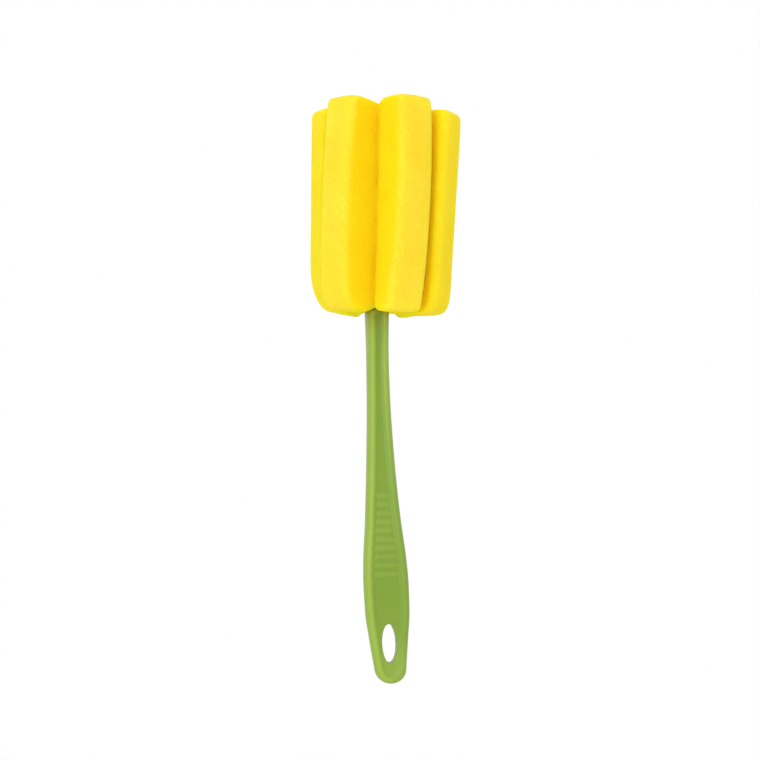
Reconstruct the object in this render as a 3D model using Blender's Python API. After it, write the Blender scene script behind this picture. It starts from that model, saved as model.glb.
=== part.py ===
"""A sponge bottle brush, 0.25 m tall, standing head up.

The moulded handle ends in a fork of two long tines, one in front and one behind. Four foam leaves
pass between the tines, squeezed thin at their middles, so that their eight halves fan out as lobes.
A small cap holds the tips of the tines together over the foam.

The origin is on the back of the handle's tail, just above the hanging eye. X is to the right, -Y is
the front and Z runs up to the head. Heights below are measured from the bottom of the tail.
"""

from math import cos, hypot, pi, radians, sin, sqrt

import bmesh
import bpy
from mathutils import Vector

MM = 0.001

# Handle outline: the half width at each height, above a round tail end and up to the fork's shoulder
SHOULDER = 161.0 * MM
SHOULDER_HALF_WIDTH = 5.15 * MM
TAIL_RADIUS = 6.6 * MM
HALF_WIDTHS = [
    (6.6 * MM, 7.0 * MM),
    (20.6 * MM, 8.65 * MM),
    (31.0 * MM, 9.68 * MM),
    (42.5 * MM, 9.85 * MM),
    (53.0 * MM, 9.4 * MM),
    (70.0 * MM, 7.8 * MM),
    (96.0 * MM, 6.15 * MM),
    (122.0 * MM, 5.15 * MM),
    (144.0 * MM, 4.88 * MM),
    (SHOULDER, SHOULDER_HALF_WIDTH),
]
# Handle side view: the half depth over the rims at each height
TAIL_HALF_DEPTH = 3.6 * MM
GRIP_HALF_DEPTH = 4.2 * MM
NECK_HALF_DEPTH = 4.5 * MM
TAIL_TOP = 35.0 * MM
GRIP_MIDDLE = 70.0 * MM
NECK_MIDDLE = 128.0 * MM
RIM_WIDTH = 4.6 * MM
PANEL_RECESS = 1.1 * MM

# Handle centre line: how far it lies to the right at each height, and how far the tail stands forward
SIDEWAYS = [
    (0.0 * MM, 4.25 * MM),
    (20.0 * MM, 3.05 * MM),
    (50.0 * MM, 1.75 * MM),
    (85.0 * MM, 0.68 * MM),
    (125.0 * MM, 0.12 * MM),
    (SHOULDER, -0.35 * MM),
]
TAIL_FORWARD = 10.0 * MM
STRAIGHT_TAIL = 31.0 * MM
BEND_TOP = 150.0 * MM

# Grip ribs, on the front and back panels
RIB_COUNT = 10
RIB_PITCH = 3.7 * MM
RIB_HEIGHT = 0.45 * MM
FIRST_RIB = 47.3 * MM
STEPS_PER_RIB = 4

# Hanging eye
EYE_HALF_WIDTH = 3.2 * MM
EYE_HALF_HEIGHT = 8.5 * MM
EYE_HEIGHT = 17.4 * MM
EYE_SIDES = 32
ORIGIN_ABOVE_EYE = 3.0 * MM

# Fork: two tines above the neck's shoulder
TINE_HALF_WIDTH = 3.1 * MM
TINE_THICKNESS = 2.6 * MM
TINE_ROOT = 2.0 * MM
BARB_DEPTH = 0.5 * MM
BARB_HEIGHT = 1.4 * MM

# Foam leaves, from front to back
LEAF_THICKNESS = 16.0 * MM
LEAF_WIDTH = 64.0 * MM
WAIST_THICKNESS = 1.95 * MM
HEAD_HEIGHT = 89.8 * MM
# how far each leaf hangs below the fork's shoulder, and stops short of the head's top
LEAF_DROPS = (1.9 * MM, 2.3 * MM, 1.2 * MM, 0.4 * MM)
LEAF_SHORTFALLS = (0.9 * MM, 4.7 * MM, 4.0 * MM, 2.4 * MM)
# how much each leaf's top and bottom edges rise over a length to the right
LEAF_TOP_SLOPES = (-0.02, -0.033, 0.0, 0.0)
LEAF_BOTTOM_SLOPES = (-0.03, -0.03, -0.01, 0.0)
TIP_CORNER = 3.4 * MM
EDGE_ROUND = 1.0 * MM
# how far a leaf's top and bottom edges bulge in the middle of its thickness
TOP_DOME = 0.5 * MM
BOTTOM_DOME = 0.4 * MM
# how far each leaf's bottom edge sags close to the fork, and its top edge dips
SAGS = (1.4 * MM, 1.0 * MM, 0.7 * MM, 0.6 * MM)
DIP = 1.8 * MM
SAG_FULL = 10.0 * MM
SAG_END = 20.0 * MM
DIP_END = 27.0 * MM
# the notch under the two front lobes, and under the rear ones, where they hang over the stem
NOTCH_RISE = 5.0 * MM
NOTCH_HALF_WIDTH = 4.6 * MM
NOTCH_FULL = 18.0 * MM
NOTCH_END = 25.0 * MM
# how far around the shoulder and the cap the foam's edges are pushed out of the way
SHOULDER_MARGIN = 0.9 * MM
SHOULDER_SPREAD = 3.4 * MM
CAP_MARGIN = 2.6 * MM
CAP_SPREAD = 9.0 * MM

# Lobes, counted round from the front crease to the right: the direction of each, in degrees from the
# front, at the bottom, the middle and the top of the head
LOBE_ANGLES = [
    (10.0, 19.0, 18.2),
    (48.0, 49.0, 51.5),
    (101.0, 102.5, 103.5),
    (150.0, 151.0, 152.0),
    (208.0, 209.0, 210.0),
    (246.0, 247.5, 249.0),
    (283.5, 284.5, 286.0),
    (313.0, 311.9, 316.8),
]
# how far each lobe's end lies beyond half the leaves' usual width, at the same three heights
LOBE_EXTRAS = [
    (1.2 * MM, 2.1 * MM, 3.0 * MM),
    (0.9 * MM, 3.7 * MM, 6.3 * MM),
    (-0.4 * MM, 0.9 * MM, 2.2 * MM),
    (0.4 * MM, 0.7 * MM, 1.0 * MM),
    (-0.4 * MM, -0.7 * MM, -1.0 * MM),
    (-3.8 * MM, -3.9 * MM, -4.0 * MM),
    (-2.2 * MM, -2.6 * MM, -3.0 * MM),
    (0.2 * MM, 0.0 * MM, -2.2 * MM),
]
# each lobe's rounding at its lower and its upper outer corner: along the lobe, and up it
LOW_CORNERS = [
    (1.8 * MM, 2.6 * MM),
    (5.5 * MM, 8.0 * MM),
    (4.0 * MM, 5.0 * MM),
    (4.0 * MM, 6.0 * MM),
    (4.5 * MM, 6.5 * MM),
    (9.0 * MM, 19.0 * MM),
    (9.6 * MM, 19.0 * MM),
    (6.5 * MM, 11.0 * MM),
]
HIGH_CORNERS = [
    (3.0 * MM, 3.4 * MM),
    (3.0 * MM, 4.0 * MM),
    (3.0 * MM, 3.5 * MM),
    (3.0 * MM, 3.5 * MM),
    (3.0 * MM, 3.5 * MM),
    (3.0 * MM, 3.5 * MM),
    (2.2 * MM, 2.4 * MM),
    (2.4 * MM, 2.8 * MM),
]
# the directions of the notches, and of the creases above them
FRONT_NOTCH = -10.0
FRONT_CREASE_BOTTOM = -15.5
FRONT_CREASE_TOP = -6.5
REAR_CREASE = 180.0
CREASE_START = 5.0 * MM
# how much the two front lobes thicken towards the fork, on the sides that press on each other
CREASE_SWELL = 5.0 * MM
# over what width a lobe's side turns from the crease's line to its own face
PRESSED_BLEND = 0.8 * MM
FREE_BLEND = 2.7 * MM

# Cap over the tips of the tines
CAP_HALF_WIDTH = 5.0 * MM
CAP_WALL = 1.1 * MM
CAP_THICKNESS = 3.6 * MM
CAP_ROUND = 0.8 * MM
CAP_CORNER = 2.2 * MM
CAP_BELOW_TOP = 5.4 * MM
TINES_BELOW_CAP_TOP = 0.2 * MM

CLEARANCE = 0.3 * MM

# What follows from the sizes above
LEAF_COUNT = len(LEAF_DROPS)
HEAD_TOP = SHOULDER + HEAD_HEIGHT
LEAF_BOTTOMS = [SHOULDER - drop for drop in LEAF_DROPS]
LEAF_TOPS = [HEAD_TOP - shortfall for shortfall in LEAF_SHORTFALLS]
HEAD_BOTTOM = min(LEAF_BOTTOMS)
LEAF_PITCH = WAIST_THICKNESS + CLEARANCE
FORK_HALF_GAP = (LEAF_COUNT * LEAF_PITCH + CLEARANCE) / 2
TINE_OUTSIDE = FORK_HALF_GAP + TINE_THICKNESS
CAP_BOTTOM = HEAD_TOP - CAP_BELOW_TOP
CAP_TOP = CAP_BOTTOM + CAP_THICKNESS
CAP_HALF_DEPTH = TINE_OUTSIDE + CLEARANCE + CAP_WALL
TINE_TOP = CAP_TOP - TINES_BELOW_CAP_TOP
TINE_SIDE = TINE_HALF_WIDTH + CLEARANCE

# How finely the round shapes are drawn
RIM_STEPS = (0.0, 0.05, 0.2, 0.5, 0.75, 1.0)
PANEL_STEPS = (0.85, 0.0)
TAIL_END_STEPS = 6
TAIL_STEPS = 7
NECK_STEPS = 10
LOBE_STATIONS = 4
FAN_REACHES = (2.2 * MM, 3.7 * MM, 8.5 * MM)
TIP_STEPS = 2
DOME_STEPS = 2
LEVELS_ABOVE_BOTTOM = (0.0, EDGE_ROUND, 4.0 * MM, 9.0 * MM, 18.0 * MM, 31.0 * MM)
LEVEL_ABOVE_MIDDLE = 3.0 * MM
LEVELS_BELOW_TOP = (26.0 * MM, 12.0 * MM, 2.6 * MM, EDGE_ROUND, 0.0)
OUTER_SIDES = 6
CAP_CORNER_SIDES = 4

PLASTIC_GREEN = (0.26, 0.42, 0.07, 1.0)
FOAM_YELLOW = (0.96, 0.74, 0.05, 1.0)


def clear_scene():
    for thing in list(bpy.data.objects):
        bpy.data.objects.remove(thing, do_unlink=True)


def material(name, colour, roughness):
    made = bpy.data.materials.new(name)
    made.use_nodes = True
    shader = made.node_tree.nodes["Principled BSDF"]
    shader.inputs["Base Color"].default_value = colour
    shader.inputs["Roughness"].default_value = roughness
    shader.inputs["Metallic"].default_value = 0.0
    return made


def ease(start, end, x):
    """0 below start and 1 above end, with a smooth rise between."""
    t = min(max((x - start) / (end - start), 0.0), 1.0)
    return t * t * (3 - 2 * t)


def mix(a, b, t):
    return a + (b - a) * t


def smooth_min(a, b, reach):
    """The smaller of two lengths, rounded over where they are alike."""
    h = min(max(0.5 + 0.5 * (b - a) / reach, 0.0), 1.0)
    return mix(b, a, h) - reach * h * (1 - h)


def curve_through(points, x):
    """A smooth curve through (x, y) points that never overshoots them."""
    if x <= points[0][0]:
        return points[0][1]
    if x >= points[-1][0]:
        return points[-1][1]
    steps = [(b[0] - a[0], (b[1] - a[1]) / (b[0] - a[0])) for a, b in zip(points, points[1:])]
    slopes = [steps[0][1]]
    for (_, before), (_, after) in zip(steps, steps[1:]):
        slopes.append(2 * before * after / (before + after) if before * after > 0 else 0.0)
    slopes.append(steps[-1][1])
    for i, (width, _) in enumerate(steps):
        if x <= points[i + 1][0]:
            t = (x - points[i][0]) / width
            h00 = (1 + 2 * t) * (1 - t) ** 2
            h10 = t * (1 - t) ** 2
            h01 = t * t * (3 - 2 * t)
            h11 = t * t * (t - 1)
            return (
                h00 * points[i][1]
                + h10 * width * slopes[i]
                + h01 * points[i + 1][1]
                + h11 * width * slopes[i + 1]
            )


def new_object(name, mesh, look):
    mesh.materials.append(look)
    thing = bpy.data.objects.new(name, mesh)
    bpy.context.scene.collection.objects.link(thing)
    return thing


def solid_from(name, vertices, faces):
    """A mesh from points and faces, with its normals pointing out."""
    mesh = bpy.data.meshes.new(name)
    mesh.from_pydata(vertices, [], faces)
    edit = bmesh.new()
    edit.from_mesh(mesh)
    bmesh.ops.recalc_face_normals(edit, faces=edit.faces)
    edit.to_mesh(mesh)
    edit.free()
    return mesh


def ring_walls(ring_count, ring_size):
    """Four-sided faces between rings of equal size, listed one after another."""
    faces = []
    for level in range(ring_count - 1):
        low = level * ring_size
        high = low + ring_size
        for i in range(ring_size):
            j = (i + 1) % ring_size
            faces.append((low + i, low + j, high + j, high + i))
    return faces


def lofted(name, rings):
    """A closed mesh through rings of points, with a flat face over each end ring."""
    size = len(rings[0])
    vertices = [point for ring in rings for point in ring]
    faces = ring_walls(len(rings), size)
    faces.append(tuple(reversed(range(size))))
    faces.append(tuple(range(len(vertices) - size, len(vertices))))
    return solid_from(name, vertices, faces)


def smooth_sides(thing, angle):
    thing.data.shade_smooth()
    thing.data.set_sharp_from_angle(angle=radians(angle))


def boolean(thing, other, operation):
    change = thing.modifiers.new(operation.lower(), "BOOLEAN")
    change.operation = operation
    change.solver = "EXACT"
    change.object = other


def as_cutter(thing):
    thing.hide_render = True
    thing.display_type = "WIRE"


# Handle


def half_width(height):
    if height < TAIL_RADIUS:
        below = (TAIL_RADIUS - height) / TAIL_RADIUS
        return HALF_WIDTHS[0][1] * sqrt(max(1 - below * below, 0.0))
    return curve_through(HALF_WIDTHS, height)


def rim_half_depth(height):
    return curve_through(
        [
            (TAIL_TOP, TAIL_HALF_DEPTH),
            (GRIP_MIDDLE, GRIP_HALF_DEPTH),
            (NECK_MIDDLE, NECK_HALF_DEPTH),
            (SHOULDER, TINE_OUTSIDE),
        ],
        height,
    )


def centre_line(height):
    """How far the handle's middle lies to the right, and behind, at a height."""
    right = curve_through(SIDEWAYS, height)
    behind = -TAIL_FORWARD * (1 - ease(STRAIGHT_TAIL, BEND_TOP, height))
    return right, behind


def edge_distance(across, height, width):
    """How far inside the handle's outline a point of the panel lies."""
    if height < TAIL_RADIUS:
        return TAIL_RADIUS - hypot(across * TAIL_RADIUS / HALF_WIDTHS[0][1], TAIL_RADIUS - height)
    return width - abs(across)


def rib_rise(height):
    """How far the ribs stand above the panel at a height."""
    phase = (height - FIRST_RIB) / RIB_PITCH
    if not -0.5 < phase < RIB_COUNT - 0.5:
        return 0.0
    return RIB_HEIGHT * (1 + cos(2 * pi * phase)) / 2


def surface_depth(across, height, width, on_panel):
    """Half the handle's depth at a point of its outline: a round rim about a sunken, ribbed panel."""
    crest = rim_half_depth(height)
    inside = max(edge_distance(across, height, width), 0.0) / RIM_WIDTH
    if inside < 0.5:
        return crest * sqrt(max(1 - (1 - 2 * inside) ** 2, 0.0))
    sunk = PANEL_RECESS * (1 - cos(2 * pi * (min(inside, 1.0) - 0.5))) / 2
    return crest - sunk + (rib_rise(height) if on_panel else 0.0)


def across_steps(width):
    """Where a slice of the handle is measured, from its right edge to its middle."""
    steps = []
    count = len(RIM_STEPS) + len(PANEL_STEPS) - 1
    for i, share in enumerate(RIM_STEPS):
        steps.append((width - min(share * RIM_WIDTH, width * i / count), False))
    panel = steps[-1][0]
    for share in PANEL_STEPS:
        steps.append((panel * share, True))
    return steps


def handle_slice(height):
    """One level ring of the handle, from its right edge round the front and back."""
    width = half_width(height)
    right, behind = centre_line(height)
    quarter = across_steps(width)
    front = [(x, -surface_depth(x, height, width, rib)) for x, rib in quarter]
    front += [(-x, y) for x, y in reversed(front[:-1])]
    back = [(x, -y) for x, y in reversed(front[1:-1])]
    return [Vector((x + right, y + behind, height)) for x, y in front + back]


def handle_heights():
    """The levels of the handle's slices: close together round the tail end and over the ribs."""
    end = [TAIL_RADIUS * (1 - cos(pi / 2 * i / TAIL_END_STEPS)) for i in range(1, TAIL_END_STEPS + 1)]
    ribs_start = FIRST_RIB - RIB_PITCH / 2
    ribs_end = ribs_start + RIB_COUNT * RIB_PITCH
    tail = [mix(TAIL_RADIUS, ribs_start, i / TAIL_STEPS) for i in range(1, TAIL_STEPS)]
    ribs = [
        ribs_start + RIB_PITCH * i / STEPS_PER_RIB for i in range(RIB_COUNT * STEPS_PER_RIB + 1)
    ]
    neck = [mix(ribs_end, SHOULDER, i / NECK_STEPS) for i in range(1, NECK_STEPS + 1)]
    return end + tail + ribs + neck


def stem_mesh():
    """The handle below its fork."""
    rings = [handle_slice(height) for height in handle_heights()]
    size = len(rings[0])
    right, behind = centre_line(0.0)
    vertices = [point for ring in rings for point in ring] + [Vector((right, behind, 0.0))]
    faces = ring_walls(len(rings), size)
    tip = len(vertices) - 1
    faces += [(tip, (i + 1) % size, i) for i in range(size)]
    faces.append(tuple(range(tip - size, tip)))
    return solid_from("stem", vertices, faces)


def tine_ring(height, inner, side):
    """A tine's outline at a height: flat towards the foam and round away from it."""
    points = [Vector((TINE_HALF_WIDTH, side * inner, height))]
    flank = FORK_HALF_GAP + TINE_THICKNESS / 3
    for i in range(OUTER_SIDES + 1):
        turn = pi * i / OUTER_SIDES
        away = flank + (TINE_OUTSIDE - flank) * sin(turn)
        points.append(Vector((TINE_HALF_WIDTH * cos(turn), side * away, height)))
    points.append(Vector((-TINE_HALF_WIDTH, side * inner, height)))
    return points


def tine_mesh(side):
    barb_low = TINE_TOP - BARB_HEIGHT
    levels = [
        (SHOULDER - TINE_ROOT, FORK_HALF_GAP),
        (barb_low - CLEARANCE, FORK_HALF_GAP),
        (barb_low, FORK_HALF_GAP - BARB_DEPTH),
        (TINE_TOP, FORK_HALF_GAP),
    ]
    return lofted("tine", [tine_ring(height, inner, side) for height, inner in levels])


def eye_cutter(look):
    """An upright oval that runs through the tail and leans with it."""
    reach = 4 * TAIL_HALF_DEPTH
    _, behind = centre_line(EYE_HEIGHT)
    rings = []
    for depth in (behind - reach, behind + reach):
        ring = []
        for i in range(EYE_SIDES):
            turn = 2 * pi * i / EYE_SIDES
            height = EYE_HEIGHT + EYE_HALF_HEIGHT * sin(turn)
            right, _ = centre_line(height)
            ring.append(Vector((right + EYE_HALF_WIDTH * cos(turn), depth, height)))
        rings.append(ring)
    cutter = new_object("eye_cutter", lofted("eye_cutter", rings), look)
    as_cutter(cutter)
    return cutter


def make_handle(look):
    handle = new_object("handle", stem_mesh(), look)
    helpers = []
    for side in (-1, 1):
        tine = new_object("tine_helper", tine_mesh(side), look)
        as_cutter(tine)
        boolean(handle, tine, "UNION")
        helpers.append(tine)
    cutter = eye_cutter(look)
    boolean(handle, cutter, "DIFFERENCE")
    smooth_sides(handle, 40)
    return [handle, cutter] + helpers


# Foam leaves


def towards(angle):
    """The level direction at an angle from the front, turning to the right."""
    return Vector((sin(radians(angle)), -cos(radians(angle))))


def at_share(values, share):
    """A smooth curve through three values: at the head's bottom, its middle and its top."""
    low, middle, high = values
    return (
        low * (1 - share) * (1 - 2 * share)
        + middle * 4 * share * (1 - share)
        + high * share * (2 * share - 1)
    )


def lobe_angle(lobe, share):
    return at_share(LOBE_ANGLES[lobe], share)


def crease_angle(crease, share):
    """The direction of the gap below a lobe, at a share of the head's height."""
    if crease == 0:
        return mix(FRONT_CREASE_BOTTOM, FRONT_CREASE_TOP, share)
    if crease == LEAF_COUNT:
        return REAR_CREASE
    return (lobe_angle(crease - 1, share) + lobe_angle(crease, share)) / 2


def crease_path(crease, side, share):
    """The middle of the gap between two lobes: the points where it winds out of the fork, and its angle.

    Creases 0 and 4 start at a tine and round its edge; the others start between two leaves."""
    angle = crease_angle(crease, share)
    if crease % LEAF_COUNT == 0:
        face = -1 if crease == 0 else 1
        inner = face * (FORK_HALF_GAP - CLEARANCE / 2)
        outer = face * (TINE_OUTSIDE + CLEARANCE / 2)
        start = Vector((0.0, face * TINE_OUTSIDE)) + CREASE_START * towards(angle)
        edge = side * (TINE_SIDE - CLEARANCE / 2)
        return [Vector((0.0, inner)), Vector((edge, inner)), Vector((edge, outer)), start], angle
    layer = crease if crease < LEAF_COUNT else 2 * LEAF_COUNT - crease
    level = (layer - LEAF_COUNT / 2) * LEAF_PITCH
    start = Vector((side * (TINE_SIDE + CLEARANCE), level))
    return [Vector((0.0, level)), start] + [start + r * towards(angle) for r in FAN_REACHES], angle


def lobe_side(lobe, upper, tip, share, inset):
    """The points along one side of a lobe, from the fork's middle to its outer corner."""
    side = 1 if lobe < LEAF_COUNT else -1
    crease = (lobe + 1) % (2 * LEAF_COUNT) if upper else lobe
    path, gap_angle = crease_path(crease, side, share)
    angle = lobe_angle(lobe, share)
    out = towards(angle)
    sideways = towards(angle + 90) if upper else towards(angle - 90)
    gap = CLEARANCE / 2 + inset
    front = (side > 0) != upper
    waist_gap = (CLEARANCE / 2 + min(inset, WAIST_THICKNESS / 6)) * (1 if front else -1)
    points = [path[0] + Vector((0.0, waist_gap)), path[1] + Vector((0.0, waist_gap))]
    at_tine = crease % LEAF_COUNT == 0
    if at_tine:
        points[1].x += side * gap
        points.append(path[2] + Vector((side * gap, 0.0)))
    pressed = crease == 0
    swell = CREASE_SWELL if pressed else 0.0
    blend = PRESSED_BLEND if pressed else FREE_BLEND
    ray = towards(gap_angle)
    run = ray.dot(out)
    drift = ray.dot(sideways)
    first = path[-1].dot(out)
    start_away = path[-1].dot(sideways)

    def away(reach):
        """The lobe's half thickness on this side, at a distance out from the fork."""
        free = start_away + (reach - first) * drift / run - gap / run
        bulk = LEAF_THICKNESS / 2 - inset + swell * max(1 - reach / tip, 0.0)
        return smooth_min(free, bulk, blend)

    if at_tine:
        stations = [first, first + FAN_REACHES[0]]
    else:
        stations = [point.dot(out) for point in path[2:]]
    last = tip - TIP_CORNER
    stations += [mix(first, last, (i + 1) / LOBE_STATIONS) for i in range(LOBE_STATIONS)]
    points += [out * u + sideways * away(u) for u in stations]
    for i in range(1, TIP_STEPS + 1):
        turn = pi / 2 * i / TIP_STEPS
        u = last + TIP_CORNER * sin(turn)
        v = away(last) - TIP_CORNER * (1 - cos(turn))
        points.append(out * u + sideways * v)
    return points


def corner_loss(distance, corner):
    """How much shorter a lobe is at a distance from its top or bottom edge."""
    along, up = corner
    if distance >= up:
        return 0.0
    return along * (1 - sqrt(1 - (1 - distance / up) ** 2))


def lobe_tip(lobe, leaf, height, share):
    extra = at_share(LOBE_EXTRAS[lobe], share)
    low = corner_loss(max(height - LEAF_BOTTOMS[leaf], 0.0), LOW_CORNERS[lobe])
    high = corner_loss(max(LEAF_TOPS[leaf] - height, 0.0), HIGH_CORNERS[lobe])
    return LEAF_WIDTH / 2 + extra - low - high


def edge_inset(distance):
    """How far a leaf's faces draw in, close to its top or bottom edge."""
    if distance >= EDGE_ROUND:
        return 0.0
    return EDGE_ROUND - sqrt(EDGE_ROUND**2 - (EDGE_ROUND - distance) ** 2)


def leaf_levels(leaf):
    """(height, how far it is in from the nearer edge) for each level of a leaf."""
    low, high = LEAF_BOTTOMS[leaf], LEAF_TOPS[leaf]
    levels = [(low + d, d) for d in LEVELS_ABOVE_BOTTOM]
    levels.append(((low + high) / 2 + LEVEL_ABOVE_MIDDLE, high - low))
    levels += [(high - d, d) for d in LEVELS_BELOW_TOP]
    return levels


def level_rungs(leaf, height, distance):
    """Pairs of front and back points across a leaf, from its left tip to its right tip."""
    share = (height - HEAD_BOTTOM) / (HEAD_TOP - HEAD_BOTTOM)
    inset = edge_inset(distance)
    right, left = leaf, 2 * LEAF_COUNT - 1 - leaf
    halves = []
    for lobe, front_is_upper in ((left, True), (right, False)):
        tip = lobe_tip(lobe, leaf, height, share) - inset
        front = lobe_side(lobe, front_is_upper, tip, share, inset)
        back = lobe_side(lobe, not front_is_upper, tip, share, inset)
        halves.append(list(zip(front, back)))
    return list(reversed(halves[0][1:])) + halves[1]


def share_over(point, half_width, half_depth, margin, spread):
    """1 over an oblong about the fork and a margin around it, falling smoothly to 0 further out."""
    outside = max(abs(point.x) - half_width, abs(point.y) - half_depth)
    return 1 - ease(margin, spread, outside)


def edges_at(point, leaf):
    """A leaf's lower and upper edge at a point, and how far each may bulge there.

    The edges clear the shoulder and the cap, and the lower one is notched around the stem."""
    reach = hypot(point.x, point.y)
    near_fork = 1 - ease(SAG_FULL, SAG_END, reach)
    near_cap = 1 - ease(SAG_FULL, DIP_END, reach)
    low = LEAF_BOTTOMS[leaf] - SAGS[leaf] * near_fork + LEAF_BOTTOM_SLOPES[leaf] * point.x
    high = LEAF_TOPS[leaf] - TOP_DOME - DIP * near_cap + LEAF_TOP_SLOPES[leaf] * point.x
    on_shoulder = share_over(
        point, SHOULDER_HALF_WIDTH, TINE_OUTSIDE, SHOULDER_MARGIN, SHOULDER_SPREAD
    )
    under_cap = share_over(point, CAP_HALF_WIDTH, CAP_HALF_DEPTH, CAP_MARGIN, CAP_SPREAD)
    off_notch = abs(towards(FRONT_NOTCH if point.y < 0 else REAR_CREASE).cross(point.xy))
    over_stem = max(1 - off_notch / NOTCH_HALF_WIDTH, 0.0) * (1 - ease(NOTCH_FULL, NOTCH_END, reach))
    new_low = mix(low + BOTTOM_DOME + NOTCH_RISE * over_stem, SHOULDER + CLEARANCE, on_shoulder)
    new_high = mix(high, min(high, CAP_BOTTOM - CLEARANCE), under_cap)
    return new_low, new_high, BOTTOM_DOME * (1 - on_shoulder), TOP_DOME * (1 - under_cap)


def seated_height(point, share, leaf):
    """A point's height, at a share of the leaf's own height."""
    low, high, _, _ = edges_at(point, leaf)
    return mix(low, high, share)


def domed_edge(rungs, leaf, first, upper):
    """The faces over a leaf's top or bottom, and their points between its front and back."""
    count = len(rungs)
    rungs_start = first - 2 * count if upper else 0
    inner = DOME_STEPS - 1
    points, faces = [], []
    for front, back in rungs[1:-1]:
        for j in range(1, DOME_STEPS):
            point = front.lerp(back, j / DOME_STEPS)
            _, _, lower_bulge, upper_bulge = edges_at(point, leaf)
            bulge = upper_bulge if upper else -lower_bulge
            points.append(point + Vector((0.0, 0.0, bulge * sqrt(sin(pi * j / DOME_STEPS)))))

    def across(i):
        """The numbers of the points over one rung, from front to back."""
        between = [] if i in (0, count - 1) else [first + (i - 1) * inner + j for j in range(inner)]
        return [rungs_start + i] + between + [rungs_start + 2 * count - 1 - i]

    for i in range(count - 1):
        here, there = across(i), across(i + 1)
        if len(here) != len(there):
            faces.append(tuple(here + there[::-1]))
            continue
        for j in range(len(here) - 1):
            faces.append((here[j], there[j], there[j + 1], here[j + 1]))
    return points, faces


def leaf_mesh(leaf):
    """A leaf as a stack of levels, each a ladder of rungs from its left tip to its right tip."""
    low, high = LEAF_BOTTOMS[leaf], LEAF_TOPS[leaf]
    ladders = []
    for height, distance in leaf_levels(leaf):
        share = (height - low) / (high - low)
        ladders.append(
            [
                tuple(Vector((p.x, p.y, seated_height(p, share, leaf))) for p in rung)
                for rung in level_rungs(leaf, height, distance)
            ]
        )
    rings = [[front for front, _ in rungs] + [back for _, back in rungs[::-1]] for rungs in ladders]
    size = len(rings[0])
    vertices = [point for ring in rings for point in ring]
    faces = ring_walls(len(rings), size)
    top_points, top_faces = domed_edge(ladders[-1], leaf, len(vertices), True)
    vertices += top_points
    bottom_points, bottom_faces = domed_edge(ladders[0], leaf, len(vertices), False)
    vertices += bottom_points
    return solid_from("leaf", vertices, faces + top_faces + bottom_faces)


def make_leaves(look):
    names = ("front_leaf", "middle_front_leaf", "middle_rear_leaf", "rear_leaf")
    leaves = [new_object(name, leaf_mesh(leaf), look) for leaf, name in enumerate(names)]
    for leaf in leaves:
        smooth_sides(leaf, 50)
    return leaves


# Cap


def rounded_oblong(half_width, half_length, corner, height):
    """A level ring with straight sides and round corners."""
    ring = []
    for corner_index, (x_side, y_side) in enumerate(((1, 1), (-1, 1), (-1, -1), (1, -1))):
        for i in range(CAP_CORNER_SIDES + 1):
            turn = pi / 2 * (corner_index + i / CAP_CORNER_SIDES)
            x = x_side * (half_width - corner) + corner * cos(turn)
            y = y_side * (half_length - corner) + corner * sin(turn)
            ring.append(Vector((x, y, height)))
    return ring


def slot_cutter(look, side, inner, low):
    """A box that clears one tine, from a height up through the cap's top."""
    wide = TINE_SIDE
    near = side * (inner - CLEARANCE)
    far = side * (TINE_OUTSIDE + CLEARANCE)
    rings = []
    for height in (low, CAP_TOP + CAP_THICKNESS):
        rings.append(
            [
                Vector((wide, near, height)),
                Vector((wide, far, height)),
                Vector((-wide, far, height)),
                Vector((-wide, near, height)),
            ]
        )
    cutter = new_object("slot_cutter", lofted("slot_cutter", rings), look)
    as_cutter(cutter)
    return cutter


def make_cap(look):
    levels = [
        (CAP_BOTTOM, CAP_ROUND / 2),
        (CAP_BOTTOM + CAP_ROUND / 2, 0.0),
        (CAP_TOP - CAP_ROUND, 0.0),
        (CAP_TOP - CAP_ROUND * 0.3, CAP_ROUND * 0.3),
        (CAP_TOP, CAP_ROUND),
    ]
    rings = [
        rounded_oblong(CAP_HALF_WIDTH - inset, CAP_HALF_DEPTH - inset, CAP_CORNER - inset, height)
        for height, inset in levels
    ]
    cap = new_object("fork_cap", lofted("fork_cap", rings), look)
    helpers = []
    for side in (-1, 1):
        through = slot_cutter(look, side, FORK_HALF_GAP, CAP_BOTTOM - CAP_THICKNESS)
        pocket_floor = TINE_TOP - BARB_HEIGHT - 2 * CLEARANCE
        pocket = slot_cutter(look, side, FORK_HALF_GAP - BARB_DEPTH, pocket_floor)
        for cutter in (through, pocket):
            boolean(cap, cutter, "DIFFERENCE")
            helpers.append(cutter)
    smooth_sides(cap, 40)
    return [cap] + helpers


def place_frame(things):
    """Stands the brush so that the point above the eye, on the back of the tail, is the origin."""
    height = EYE_HEIGHT + EYE_HALF_HEIGHT + ORIGIN_ABOVE_EYE
    right, behind = centre_line(height)
    back = behind + TAIL_HALF_DEPTH - PANEL_RECESS
    frame = bpy.data.objects.new("brush", None)
    bpy.context.scene.collection.objects.link(frame)
    frame.location = (-right, -back, -height)
    for thing in things:
        thing.parent = frame


def main():
    clear_scene()
    plastic = material("handle_plastic", PLASTIC_GREEN, 0.35)
    foam = material("yellow_foam", FOAM_YELLOW, 0.95)
    place_frame(make_handle(plastic) + make_leaves(foam) + make_cap(plastic))


main()
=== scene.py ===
"""The looks of a sponge bottle brush, on the frame of its solids.

The handle and its cap get finer, rounder meshes, and each foam leaf a soft one with its own uneven
surface. All the sizes are those of the solids. Heights are measured from the bottom of the tail and
X and Y from the middle of the fork, until a finished piece moves into the frame of the solids.
"""

from math import cos, hypot, pi, radians, sin, sqrt

import bmesh
import bpy
from mathutils import Matrix, Vector, noise


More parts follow.
